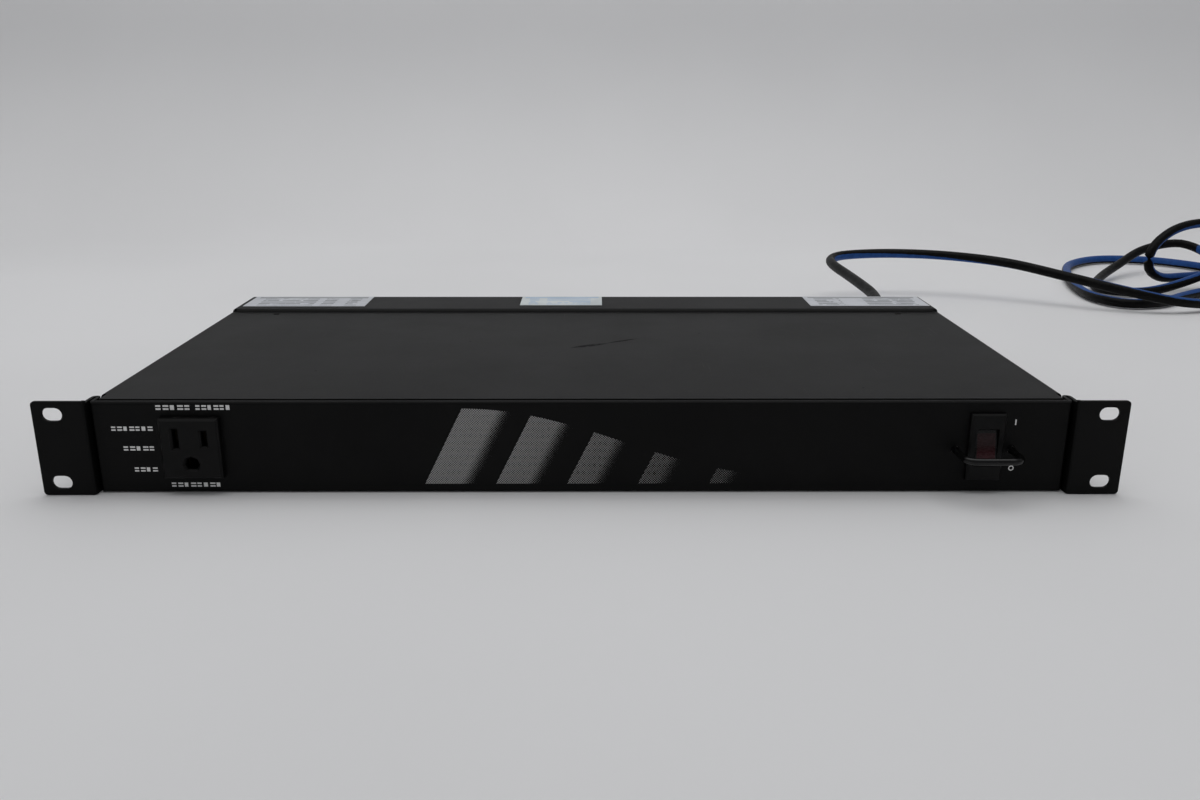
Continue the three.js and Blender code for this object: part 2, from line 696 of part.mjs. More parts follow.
function addSwitch() {
  const unit = new THREE.Group();
  unit.position.set(SWITCH.x, 0, SWITCH.z);
  powerStrip.add(unit);
  addPart("switch_housing", switchHousingGeometry(), blackPlastic, unit);
  addPart("line_terminal", bladeGeometry(LINE_BLADE_Z, SADDLE_Y), brass, unit);
  addPart("load_terminal", bladeGeometry(LOAD_BLADE_Z, STRIP_REAR + 0.05), brass, unit);
  addPart("bimetal_strip", bimetalGeometry(), brass, unit);

  const rocking = new THREE.Group();
  rocking.position.y = ROCKER_PIVOT_Y;
  rocking.rotation.x = -ROCKER_TILT;
  unit.add(rocking);
  addPart("rocker", rockerGeometry(), redPlastic, rocking);
  addPart("plunger", plungerGeometry(), zincSteel, rocking);
  addPart("plunger_spring", sweep(new Helix(1.2, -1.1, 0.9, 3), 0.18, 5, 30), zincSteel, rocking);
  const lamp = prism(disc(-0.5, 4.4, 1.2, 10), "x", -3, 3);
  addPart("neon_lamp", lamp, glass, rocking);

  const seesaw = new THREE.Group();
  seesaw.position.y = ARM_Y;
  seesaw.rotation.x = ARM_TILT;
  unit.add(seesaw);
  addPart("contact_arm", contactArmGeometry(), brass, seesaw);
}

// ---------------------------------------------------------------- switch guard

/** A round bar bent to a U, its legs through the panel. */
function guardGeometry() {
  const { left, right, z, front, rear, radius, bend } = GUARD;
  const arcPoints = [];
  const corner = (x, start) => {
    for (let i = 0; i <= 4; i += 1) {
      const angle = (start + i * 22.5) * RAD;
      const point = [x + bend * Math.cos(angle), front + bend + bend * Math.sin(angle), z];
      arcPoints.push(new THREE.Vector3(...point));
    }
  };
  corner(left + bend, 180);
  corner(right - bend, 270);
  const points = [new THREE.Vector3(left, rear, z), ...arcPoints, new THREE.Vector3(right, rear, z)];
  const path = new THREE.CurvePath();
  for (let i = 1; i < points.length; i += 1) {
    path.add(new THREE.LineCurve3(points[i - 1], points[i]));
  }
  return sweep(path, radius, 12, 34);
}

function guardNutGeometry(x) {
  const shape = disc(x, GUARD.z, 4.2, 12);
  shape.holes.push(disc(x, GUARD.z, GUARD.radius + 0.15, 12));
  return prism(shape, "y", PANEL_Y + PLATE + 0.1, PANEL_Y + PLATE + 1.3);
}

function addGuard() {
  addPart("switch_guard", guardGeometry(), glossSteel);
  addPart("guard_nut_left", guardNutGeometry(GUARD.left), zincSteel);
  addPart("guard_nut_right", guardNutGeometry(GUARD.right), zincSteel);
}

// ---------------------------------------------------------------- cord set

const BUSHING = { neck: 6.9, flange: 8.6, flangeDepth: 2.4, tail: 5.6, bore: 4.15, length: 13 };

/** The strain relief that grips the cord in the rear wall. */
function bushingGeometry() {
  const { neck, flange, flangeDepth, tail, bore, length } = BUSHING;
  const seat = TRAY_REAR + 0.05;
  const inside = seat - 6;
  const flangeRear = seat + flangeDepth;
  const profile = [
    [bore, inside], [neck, inside], [neck, seat], [flange, seat], [flange, flangeRear],
    [neck - 0.4, flangeRear], [tail, seat + length], [bore, seat + length], [bore, inside],
  ];
  const points = profile.map(([r, y]) => new THREE.Vector2(r, y));
  const geometry = new THREE.LatheGeometry(points, 16);
  geometry.translate(CORD_EXIT.x, 0, CORD_EXIT.z);
  return geometry;
}

/** Where the cord's middle runs, from the rear wall to the plug. */
const CORD_PATH = [
  // straight out of the bushing, rising over the table
  [198, CORD_START_Y, 24], [198, 232, 24], [198, 244, 24.1], [202, 268, 25.1], [208.5, 298, 26.6],
  [211, 326, 28.1], [209.3, 356, 29.7], [206.3, 388, 31.4], [203.3, 418, 33],
  // the turn to the right
  [205, 440, 34.1], [215, 455, 35], [238, 464, 35.5], [272, 465, 35.7],
  // down to the coil and over its near end
  [312, 458, 34.7], [355, 438, 31.8], [396, 412, 24.5], [434, 391, 17], [474, 385, 9.5],
  // first turn, flat on the table
  [517, 400, 4.8], [560, 432, 4.4], [596, 474, 4.4], [612, 525, 4.4], [604, 578, 4.4],
  [572, 618, 4.4], [524, 626, 4.4], [480, 594, 4.4], [450, 532, 4.4], [431, 465, 4.4],
  [429, 425, 4.4], [441, 404, 4.4], [468, 405, 4.4],
  // second turn, inside the first and lifted at the back
  [510, 436, 4.4], [555, 468, 4.4], [588, 505, 5], [599, 545, 15], [578, 574, 28],
  [542, 572, 24], [502, 545, 12], [468, 508, 5.7], [450, 474, 4.6], [458, 454, 4.6],
  // third turn, standing up
  [484, 452, 4.8], [522, 462, 11.5], [556, 476, 22], [578, 488, 38], [572, 490, 54],
  [542, 482, 60], [510, 472, 55], [490, 464, 41], [486, 461, 27], [499, 468, 15.5],
  // the tail, over the first two turns to the plug
  [534, 484, 12], [575, 497, 13.4], [604, 504, 15.5], [634, 508, 15], [658, 510, 13.8],
  [PLUG.x + 6, PLUG.y, PLUG.z],
];

/** The moulded plug body about its own middle, its blades toward +X. */
function plugGeometry() {
  const { neck, length, halfWidth, halfHeight } = PLUG;
  const outline = polygon([
    [neck, -halfWidth + 4], [neck + 8, -halfWidth], [length, -halfWidth],
    [length, halfWidth], [neck + 8, halfWidth], [neck, halfWidth - 4],
  ]);
  const body = prism(outline, "z", -halfHeight, halfHeight);
  const sleeve = prism(disc(0, 0, 6.5, 12), "x", 0, neck + 1);
  const cut = [prism(disc(0, 0, CORD_RADIUS + 0.25, 12), "x", -1, 7)];
  for (const end of [-1, 1]) {
    const edge = cornerWaste(length, end * halfHeight, 1, end, 2);
    cut.push(prism(edge, "y", -halfWidth - 1, halfWidth + 1));
    for (const side of [-1, 1]) {
      const corner = cornerWaste(side * halfWidth, end * halfHeight, side, end, 4);
      cut.push(prism(corner, "x", neck - 1, length + 1));
    }
  }
  for (const { grown } of plugPins()) {
    cut.push(grown);
  }
  return carve(body, [sleeve], cut);
}

/** The plug's two blades and ground pin, each with the pocket it stands in. */
function plugPins() {
  const from = PLUG.length - 8;
  const to = PLUG.length + 17;
  const slack = 0.1;
  const bladeBox = (y, grow) => block(
    [from - grow, y - 0.75 - grow, BLADE_Z - 3.15 - grow],
    [to, y + 0.75 + grow, BLADE_Z + 3.15 + grow]);
  const pin = (grow) => prism(disc(0, GROUND_Z, 2.4 + grow, 12), "x", from - grow, to + 3);
  return [
    { name: "plug_line_blade", piece: bladeBox(BLADE_X, 0), grown: bladeBox(BLADE_X, slack) },
    { name: "plug_neutral_blade", piece: bladeBox(-BLADE_X, 0), grown: bladeBox(-BLADE_X, slack) },
    { name: "plug_ground_pin", piece: pin(0), grown: pin(slack) },
  ];
}

function addCordSet() {
  addPart("cord_bushing", bushingGeometry(), blackPlastic);
  addPart("power_cord", cable(CORD_PATH, CORD_RADIUS, 8, 176), jacket);
  const plug = new THREE.Group();
  plug.position.set(PLUG.x, PLUG.y, PLUG.z);
  powerStrip.add(plug);
  addPart("plug_body", plugGeometry(), jacket, plug);
  for (const { name, piece } of plugPins()) {
    addPart(name, piece, brass, plug);
  }
}

// ---------------------------------------------------------------- wiring inside

const GROUND_SCREW = { x: 150, y: 150 };

/** Where each conductor leaves the end of the cord. */
const CORE_Y = CORD_START_Y - SOLDER_GAP;
const CORES = {
  line: [CORD_EXIT.x - 1.7, CORE_Y, CORD_EXIT.z + 1.4],
  neutral: [CORD_EXIT.x + 1.7, CORE_Y, CORD_EXIT.z + 1.4],
  ground: [CORD_EXIT.x, CORE_Y, CORD_EXIT.z - 1.8],
};

/** A straight stub of wire that ends square to what it is soldered to, a wire's gap short of it. */
function stub([x, y, z], direction) {
  const end = y + direction * SOLDER_GAP;
  return [[x, end, z], [x, end + direction * 5, z]];
}

/** The stub in front of one end of a bus bar. */
function barStub(contact, end) {
  const places = rearOutletPlaces();
  const x = end > 0 ? Math.max(...places) + 8 : Math.min(...places) - 8;
  return stub([x, TRAY_REAR - BAR.rear, OUTLET_Z + (contact.barLow + contact.barHigh) / 2], -1);
}

/** The stub behind a front outlet contact's tab. */
function tabStub({ x, z }) {
  return stub([FRONT_OUTLET_X + x, PANEL_Y + TAB.rear, OUTLET_Z + z], 1);
}

/** The stub behind a switch blade. */
function bladeStub(z) {
  return stub([SWITCH.x, BLADE.rear, SWITCH.z + z], 1);
}

/** The short straight start of a conductor at the end of the cord. */
function coreStub([x, y, z]) {
  return [[x, y, z], [x, y - 3, z]];
}

function wirePaths() {
  const { neutral, line, ground } = CONTACTS;
  const screw = GROUND_SCREW;
  const lug = [screw.x, screw.y - 8.6, SHEET + 1.6];
  const secondLug = [screw.x - 6, screw.y - 6, SHEET + 4.5];
  return [
    ["line_wire", blackWire, [
      ...coreStub(CORES.line), [197, 196, 27], [203, 160, 22], [200, 90, 20], [188, 58, 22],
      ...bladeStub(LINE_BLADE_Z).reverse()]],
    ["switched_line_wire", blackWire, [
      ...bladeStub(LOAD_BLADE_Z), [176, 56, 12], [170, 90, 8], [160, 130, 12],
      [136, 180, 20], ...barStub(line, 1).reverse()]],
    ["neutral_wire", whiteWire, [
      ...coreStub(CORES.neutral), [200, 196, 31], [184, 184, 34], [156, 178, 36], [134, 186, 35],
      ...barStub(neutral, 1).reverse()]],
    ["ground_wire", greenWire, [
      ...coreStub(CORES.ground), [195, 198, 16], [184, 172, 7], [168, 140, 4], [154, 128, 3],
      [screw.x, screw.y - 13, SHEET + 1.6], lug]],
    ["ground_bond_wire", greenWire, [
      secondLug, [138, 150, 6.5], [131, 170, 9], ...barStub(ground, 1).reverse()]],
    ["front_line_wire", blackWire, [
      ...barStub(line, -1), [-198, 180, 18], [-196, 110, 12], [-176, 60, 18],
      ...tabStub(line).reverse()]],
    ["front_neutral_wire", whiteWire, [
      ...barStub(neutral, -1), [-200, 186, 34], [-203, 120, 30], [-190, 60, 28],
      ...tabStub(neutral).reverse()]],
    ["front_ground_wire", greenWire, [
      ...barStub(ground, -1), [-192, 186, 8], [-184, 120, 5], [-176, 60, 8],
      ...tabStub(ground).reverse()]],
  ];
}

/** The screw and crimped ring that bond the chassis to the cord's ground conductor. */
function addGroundBond() {
  const { x, y } = GROUND_SCREW;
  const shank = prism(disc(x, y, 2, 10), "z", 0.1, 5);
  const head = prism(disc(x, y, 3.8, 12), "z", SHEET + 1.2, SHEET + 4);
  const drive = block([x - 3, y - 0.5, SHEET + 3], [x + 3, y + 0.5, SHEET + 5]);
  addPart("ground_screw", carve(shank, [head], [drive]), zincSteel);
  const ring = disc(x, y, 4.6, 12);
  ring.holes.push(disc(x, y, 2.2, 12));
  const low = SHEET + 0.1;
  const high = SHEET + 1;
  const barrel = block([x - 1.6, y - 8, low], [x + 1.6, y - 4, SHEET + 3.6]);
  addPart("ground_lug", carve(prism(ring, "z", low, high), [barrel], []), zincSteel);
}

function addWiring() {
  for (const [name, material, points] of wirePaths()) {
    addPart(name, cable(points, WIRE_RADIUS, 6, 20), material);
  }
  addGroundBond();
}

addChassis();
addLabels();
addOutlets();
addSwitch();
addGuard();
addCordSet();
addWiring();

powerStrip.position.y = -(TRAY_FRONT + TRAY_REAR) / 2;

export default powerStrip;
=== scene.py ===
import json
import math

import bmesh
import bpy
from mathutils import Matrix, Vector


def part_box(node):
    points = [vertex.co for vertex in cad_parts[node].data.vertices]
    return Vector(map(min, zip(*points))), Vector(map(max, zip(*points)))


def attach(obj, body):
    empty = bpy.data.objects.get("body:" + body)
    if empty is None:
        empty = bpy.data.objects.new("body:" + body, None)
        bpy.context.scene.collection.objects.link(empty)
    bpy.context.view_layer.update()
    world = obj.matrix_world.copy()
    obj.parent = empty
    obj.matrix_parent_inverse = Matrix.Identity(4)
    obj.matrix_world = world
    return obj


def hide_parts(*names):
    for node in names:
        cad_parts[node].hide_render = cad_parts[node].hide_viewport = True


# The looks of a one-unit rack power strip. Metres, +Z up, +X to the right seen from the front and
# +Y to the rear; the origin is at the centre of the unit's underside. Every place is worked out
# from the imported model's own boxes.

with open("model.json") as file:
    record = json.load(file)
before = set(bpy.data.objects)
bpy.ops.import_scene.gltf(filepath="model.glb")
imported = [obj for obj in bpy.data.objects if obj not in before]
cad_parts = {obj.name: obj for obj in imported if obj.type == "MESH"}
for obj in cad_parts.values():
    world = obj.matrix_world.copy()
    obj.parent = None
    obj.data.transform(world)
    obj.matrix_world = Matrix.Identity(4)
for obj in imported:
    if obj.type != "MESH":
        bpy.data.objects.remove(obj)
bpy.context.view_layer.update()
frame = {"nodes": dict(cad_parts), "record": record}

MM = 0.001


def grey(level, tint=(1.0, 1.0, 1.0)):
    """A nearly neutral colour, as linear light."""
    return (level * tint[0], level * tint[1], level * tint[2], 1.0)


# ------------------------------------------------------------------ node materials


class Look:
    """A node material being put together. Most methods add a node and give back its output."""

    def __init__(self, name):
        self.material = bpy.data.materials.new(name)
        self.material.use_nodes = True
        self.tree = self.material.node_tree
        self.shader = self.tree.nodes["Principled BSDF"]
        self.place = self.tree.nodes.new("ShaderNodeTexCoord").outputs["Object"]
        self.x, self.y, self.z = self.split(self.place)

    def node(self, kind, inputs, **settings):
        node = self.tree.nodes.new(kind)
        for key, value in settings.items():
            setattr(node, key, value)
        for key, value in inputs.items():
            self.feed(node.inputs[key], value)
        return node

    def feed(self, socket, value):
        if isinstance(value, bpy.types.NodeSocket):
            self.tree.links.new(value, socket)
        else:
            socket.default_value = value

    def finish(self, **inputs):
        """Feeds the surface's inputs, named with _ for a space, and gives back the material."""
        for key, value in inputs.items():
            self.feed(self.shader.inputs[key.replace("_", " ")], value)
        return self.material

    def split(self, vector):
        parts = self.node("ShaderNodeSeparateXYZ", {0: vector})
        return tuple(parts.outputs)

    def upward(self):
        """1 on a face that looks straight up, 0 on a wall or an underside."""
        normal = self.tree.nodes.new("ShaderNodeNewGeometry").outputs["Normal"]
        return self.math("MAXIMUM", self.split(normal)[2], 0.0)

    def math(self, operation, *values):
        inputs = dict(enumerate(values))
        return self.node("ShaderNodeMath", inputs, operation=operation).outputs[0]

    def total(self, first, *others):
        for other in others:
            first = self.math("ADD", first, other)
        return first

    def product(self, first, *others):
        for other in others:
            first = self.math("MULTIPLY", first, other)
        return first

    def noise(self, size, detail=2.0, roughness=0.5, place=None):
        """Soft noise from about 0.3 to 0.7 whose grain is about size metres across."""
        inputs = {"Scale": 1 / size, "Detail": detail, "Roughness": roughness}
        inputs["Vector"] = place or self.place
        return self.node("ShaderNodeTexNoise", inputs).outputs["Fac"]

    def stretched(self, x, y, z):
        """The place with its axes scaled, for brushed or wiped grain."""
        inputs = {0: self.place, 1: (x, y, z)}
        node = self.node("ShaderNodeVectorMath", inputs, operation="MULTIPLY")
        return node.outputs[0]

    def fade(self, value, low, high, first=0.0, last=1.0):
        """first below low, last above high and smooth between them."""
        inputs = {"Value": value, "From Min": low, "From Max": high, "To Min": first, "To Max": last}
        node = self.node("ShaderNodeMapRange", inputs, interpolation_type="SMOOTHSTEP")
        return node.outputs[0]

    def span(self, value, low, high):
        """1 where the value lies between two numbers, else 0."""
        return self.product(self.math("GREATER_THAN", value, low), self.math("LESS_THAN", value, high))

    def mix(self, factor, first, second):
        inputs = {0: factor, 6: first, 7: second}
        return self.node("ShaderNodeMix", inputs, data_type="RGBA").outputs[2]

    def bump(self, height, distance, strength=1.0, under=None):
        inputs = {"Height": height, "Distance": distance, "Strength": strength}
        if under is not None:
            inputs["Normal"] = under
        return self.node("ShaderNodeBump", inputs).outputs[0]

    def lens(self, start, end, half_width):
        """1 inside a pointed mark drawn in the X-Y plane from start to end, widest half way."""
        (x0, y0), (x1, y1) = start, end
        half = math.hypot(x1 - x0, y1 - y0) / 2
        ux, uy = (x1 - x0) / (2 * half), (y1 - y0) / (2 * half)
        dx = self.math("SUBTRACT", self.x, (x0 + x1) / 2)
        dy = self.math("SUBTRACT", self.y, (y0 + y1) / 2)
        along = self.product(self.total(self.product(dx, ux), self.product(dy, uy)), 1 / half)
        across = self.total(self.product(dx, -uy), self.product(dy, ux))
        edge = self.product(self.math("SUBTRACT", 1.0, self.product(along, along)), half_width)
        inside = self.math("SUBTRACT", edge, self.math("ABSOLUTE", across))
        return self.fade(inside, 0.0, 0.8 * half_width)


def powder_coat(look, base, roughness, dust=0.25, mottle=0.1):
    """Colour, roughness and normal of a satin powder coat: orange peel, smears and a little dust."""
    peel = look.noise(0.9 * MM, detail=1.0)
    grain = look.noise(0.25 * MM, detail=2.0)
    smear = look.noise(60 * MM, detail=4.0, roughness=0.6)
    patch = look.noise(14 * MM, detail=3.0)
    speck = look.fade(look.noise(0.7 * MM, detail=0.0), 0.74, 0.8)
    haze = look.fade(look.product(look.noise(35 * MM, 5.0, 0.7), look.upward()), 0.42, 0.75)
    shade = look.fade(patch, 0.3, 0.7, 1.0 - mottle, 1.0 + mottle)
    color = look.mix(look.fade(grain, 0.35, 0.65), grey(0.82 * base), grey(1.18 * base, (1, 1, 1.02)))
    color = look.node("ShaderNodeVectorMath", {0: color, "Scale": shade}, operation="SCALE").outputs[0]
    lint = look.total(look.product(haze, 0.1 * dust), look.product(speck, look.upward(), 0.4 * dust))
    color = look.mix(lint, color, grey(0.42, (1.0, 0.98, 0.94)))
    rough = look.total(roughness, look.fade(smear, 0.3, 0.7, -0.5 * mottle, 0.6 * mottle),
                       look.product(haze, mottle))
    normal = look.bump(peel, 0.02 * MM, 0.35)
    normal = look.bump(grain, 0.008 * MM, 0.3, normal)
    return color, rough, normal


def steel_coat(name, base, roughness, specular):
    look = Look(name)
    color, rough, normal = powder_coat(look, base, roughness)
    return look.finish(
        Base_Color=color, Roughness=rough, Normal=normal, Specular_IOR_Level=specular
    )


def moulded_plastic(name, base, roughness=0.42, tint=(1.0, 1.0, 1.0), specular=0.4):
    """Black or coloured plastic with the fine spark-eroded texture of its mould and flow marks."""
    look = Look(name)
    erosion = look.noise(0.18 * MM, detail=2.0)
    flow = look.noise(9 * MM, detail=3.0)
    handled = look.noise(4 * MM, detail=4.0, roughness=0.65)
    color = look.mix(look.fade(flow, 0.3, 0.7), grey(0.85 * base, tint), grey(1.15 * base, tint))
    dust = look.product(look.fade(handled, 0.55, 0.75), look.upward(), 0.12)
    color = look.mix(dust, color, grey(0.35, (1.0, 0.98, 0.94)))
    rough = look.fade(handled, 0.3, 0.7, roughness - 0.07, roughness + 0.08)
    normal = look.bump(erosion, 0.01 * MM, 0.35)
    return look.finish(
        Base_Color=color, Roughness=rough, Normal=normal, Specular_IOR_Level=specular
    )


def bare_metal(name, color, stain, roughness):
    """Plated or bare stamped metal: rolling grain, tarnish in patches and small dings."""
    look = Look(name)
    grain = look.noise(0.3 * MM, detail=3.0, place=look.stretched(0.12, 1.0, 1.0))
    tarnish = look.fade(look.noise(3 * MM, detail=5.0, roughness=0.65), 0.42, 0.68)
    tone = look.mix(tarnish, (*color, 1.0), (*stain, 1.0))
    rough = look.total(look.fade(grain, 0.3, 0.7, roughness - 0.06, roughness + 0.06),
                       look.product(tarnish, 0.14))
    normal = look.bump(grain, 0.006 * MM, 0.4)
    return look.finish(Base_Color=tone, Roughness=rough, Metallic=1.0, Normal=normal)


# ------------------------------------------------------------------ marks printed on the panel

EAR_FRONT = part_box("faceplate")[0].y
PANEL_FRONT = EAR_FRONT + 3 * MM
EAR_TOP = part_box("faceplate")[1].z
PANEL_INK = (0.84, 0.84, 0.83, 1.0)
HALFTONE_STRENGTH = 0.43


def centre(node):
    low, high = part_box(node)
    return (low + high) / 2


def dashes(look, x0, x1, z0, z1, count):
    """A row of printed dashes of uneven length, standing in for a line of print."""
    pitch = (x1 - x0) / count
    cell = look.math("DIVIDE", look.math("SUBTRACT", look.x, x0), pitch)
    uneven = look.math("SINE", look.product(look.math("FLOOR", cell), 2.4))
    share = look.math("MULTIPLY_ADD", uneven, 0.14, 0.7)
    row = look.product(look.span(look.x, x0, x1), look.span(look.z, z0, z1))
    middle = (z0 + z1) / 2
    slit = look.product(look.span(look.z, middle - 0.3 * MM, middle + 0.3 * MM),
                        look.math("GREATER_THAN", uneven, -0.2))
    row = look.product(row, look.math("SUBTRACT", 1.0, slit))
    return look.product(row, look.math("LESS_THAN", look.math("FRACT", cell), share))


def ring(look, x, z, radius, width):
    """A printed ring about a point of the panel."""
    dx, dz = look.math("SUBTRACT", look.x, x), look.math("SUBTRACT", look.z, z)
    distance = look.math("SQRT", look.total(look.product(dx, dx), look.product(dz, dz)))
    return look.span(distance, radius - width / 2, radius + width / 2)


HALFTONE = {"left": -62 * MM, "right": 98 * MM, "low": 4 * MM, "high": 39.5 * MM,
            "end": 8 * MM, "lean": 0.5}
BAND_PITCH = 32 * MM
DOT_PITCH = 0.78 * MM


def halftone(look):
    """Leaning bands of printed dots that shrink and thin out to the right."""
    middle = (HALFTONE["low"] + HALFTONE["high"]) / 2
    lean = look.product(look.math("SUBTRACT", look.z, middle), -HALFTONE["lean"])
    place = look.math("ADD", look.x, lean)
    turn = math.sqrt(0.5) / DOT_PITCH
    cells = []
    for sign in (1.0, -1.0):
        step = look.product(look.math("ADD", look.x, look.product(look.z, sign)), turn)
        cells.append(look.math("SUBTRACT", look.math("FRACT", step), 0.5))
    distance = look.math("SQRT", look.total(*(look.product(c, c) for c in cells)))
    bands = look.math("DIVIDE", look.math("SUBTRACT", place, HALFTONE["left"]), BAND_PITCH)
    across_band = look.math("FRACT", bands)
    width = look.fade(place, HALFTONE["left"], HALFTONE["right"], 0.78, 0.4)
    edge = look.fade(look.math("SUBTRACT", width, across_band), 0.0, 0.3, 0.0, 0.45)
    size = look.product(edge, look.fade(place, HALFTONE["left"], HALFTONE["right"], 1.0, 0.45))
    dots = look.math("LESS_THAN", distance, size)
    top = look.fade(place, HALFTONE["left"], HALFTONE["right"], HALFTONE["high"], HALFTONE["end"])
    field = look.product(look.span(place, HALFTONE["left"], HALFTONE["right"]),
                         look.math("GREATER_THAN", look.z, HALFTONE["low"]),
                         look.math("LESS_THAN", look.z, top))
    return look.product(dots, field)


def panel_coat():
    """The front plate's black coat with its screen print."""
    look = Look("panel_coat")
    color, rough, normal = powder_coat(look, 0.0025, 0.52, dust=0.06)
    outlet, switch = centre("front_outlet"), centre("switch_housing")
    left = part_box("front_outlet")[0].x - 3.3 * MM
    low, high = EAR_TOP - 4.7 * MM, EAR_TOP - 2.5 * MM
    marks = [
        dashes(look, outlet.x - 14.6 * MM, outlet.x + 1.4 * MM, low, high, 5),
        dashes(look, outlet.x + 3.0 * MM, outlet.x + 19.0 * MM, low, high, 6),
        ring(look, switch.x + 13 * MM, switch.z - 10.5 * MM, 1.0 * MM, 0.45 * MM),
        look.product(look.span(look.x, switch.x + 12.4 * MM, switch.x + 13 * MM),
                     look.span(look.z, switch.z + 9.9 * MM, switch.z + 12.5 * MM)),
        dashes(look, outlet.x - 11.6 * MM, outlet.x + 11.4 * MM, 2.7 * MM, 4.7 * MM, 8),
    ]
    for length, count, rise in ((18.8, 7, 8.4), (14.5, 5, -0.9), (10.8, 4, -10.9)):
        low = outlet.z + (rise - 1.0) * MM
        marks.append(dashes(look, left - length * MM, left, low, low + 2.0 * MM, count))
    on_panel = look.span(look.y, PANEL_FRONT - 0.2 * MM, PANEL_FRONT + 0.3 * MM)
    ink_wear = look.fade(look.noise(0.5 * MM, 3.0), 0.28, 0.4, 0.55, 1.0)
    print_mask = look.product(look.math("MINIMUM", look.total(*marks), 1.0), on_panel, ink_wear)
    dots = look.product(halftone(look), on_panel, ink_wear)
    color = look.mix(look.product(dots, HALFTONE_STRENGTH), color, PANEL_INK)
    color = look.mix(print_mask, color, PANEL_INK)
    rough = look.total(rough, look.product(print_mask, 0.1))
    return look.finish(Base_Color=color, Roughness=rough, Normal=normal, Specular_IOR_Level=0.12)


def cover_coat():
    """The top cover's coat with a scuff, a few fine scratches and specks of dirt."""
    look = Look("cover_coat")
    color, rough, normal = powder_coat(look, 0.0045, 0.5, dust=0.08, mottle=0.03)
    middle = centre("top_cover")
    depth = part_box("top_cover")[1].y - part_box("top_cover")[0].y

    def spot(x, y):
        """A place on the cover, in millimetres from its middle."""
        return (middle.x + x * MM, middle.y + y * MM)

    scuff = look.math("MAXIMUM", look.lens(spot(-9.5, -3.6), spot(15, 8.5), 3.2 * MM),
                      look.lens(spot(10, 6.5), spot(31, 19.5), 1.7 * MM))
    scuff = look.product(scuff, look.fade(look.noise(2.5 * MM, 4.0, 0.7), 0.34, 0.5, 0.35, 1.0))
    specks = [look.lens(spot(x - 0.9, y), spot(x + 0.9, y + 0.3), 0.6 * MM)
              for x, y in ((129, -78.5), (-130, -48.5), (64, 31), (-62, 12))]
    dirt = look.math("MINIMUM", look.total(scuff, *specks), 1.0)
    hairs = look.fade(look.noise(1.2 * MM, 2.0, 0.5, look.stretched(1.0, 0.03, 1.0)), 0.7, 0.76)
    hairs = look.product(hairs, look.fade(look.noise(0.4 * depth, 2.0), 0.5, 0.62))
    color = look.mix(look.product(hairs, 0.05), color, grey(0.2))
    color = look.mix(look.product(dirt, 0.5), color, grey(0.002))
    rough = look.total(rough, look.product(dirt, 0.2), look.product(hairs, -0.04))
    specular = look.fade(dirt, 0.0, 1.0, 0.125, 0.05)
    return look.finish(Base_Color=color, Roughness=rough, Normal=normal, Specular_IOR_Level=specular)


def hood_coat():
    """The hood's coat, its lip and walls painted a patchy lighter grey as painted light falling on its
    upright faces.
    """
    look = Look("hood_coat")
    color, rough, normal = powder_coat(look, 0.004, 0.5, dust=0.08, mottle=0.03)
    # Painted light: faces that do not look up are painted lighter, in patches, so the lip and walls
    # read brighter.
    painted_wall_light = look.fade(look.upward(), 0.25, 0.8, 0.55, 0.0)
    patchy = look.fade(look.noise(5 * MM, 4.0, 0.6), 0.3, 0.7, 0.75, 1.0)
    color = look.mix(look.product(painted_wall_light, patchy), color, grey(0.04))
    return look.finish(Base_Color=color, Roughness=rough, Normal=normal, Specular_IOR_Level=0.11)


def label_film(name, node, paper, accent, ink, columns):
    """Pale film printed with a heading band and columns of broken bars in place of words."""
    look = Look(name)
    low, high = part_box(node)
    width, depth = high.x - low.x, high.y - low.y
    u = look.math("DIVIDE", look.math("SUBTRACT", look.x, low.x), width)
    v = look.math("DIVIDE", look.math("SUBTRACT", look.y, low.y), depth)
    row = look.math("FRACT", look.product(v, 6.0))
    ragged = look.noise(7 * MM, 2.0, 0.6)
    bars = look.product(look.span(row, 0.25, 0.8), look.math("GREATER_THAN", ragged, 0.43))
    text = None
    for start, end in columns:
        column = look.product(look.span(u, start, end), look.span(v, 0.08, 0.78), bars)
        text = column if text is None else look.total(text, column)
    band = look.product(look.span(v, 0.82, 0.94), look.span(u, 0.04, 0.96))
    grime = look.noise(20 * MM, 4.0, 0.6)
    film = look.mix(look.fade(grime, 0.35, 0.7), paper, tuple(0.84 * part for part in paper[:3]) + (1,))
    color = look.mix(look.product(text, 0.75), film, ink)
    color = look.mix(look.product(band, 0.7), color, accent)
    rough = look.fade(grime, 0.3, 0.7, 0.32, 0.5)
    normal = look.bump(look.noise(6 * MM, 2.0), 0.05 * MM, 0.3)
    return look.finish(Base_Color=color, Roughness=rough, Normal=normal)


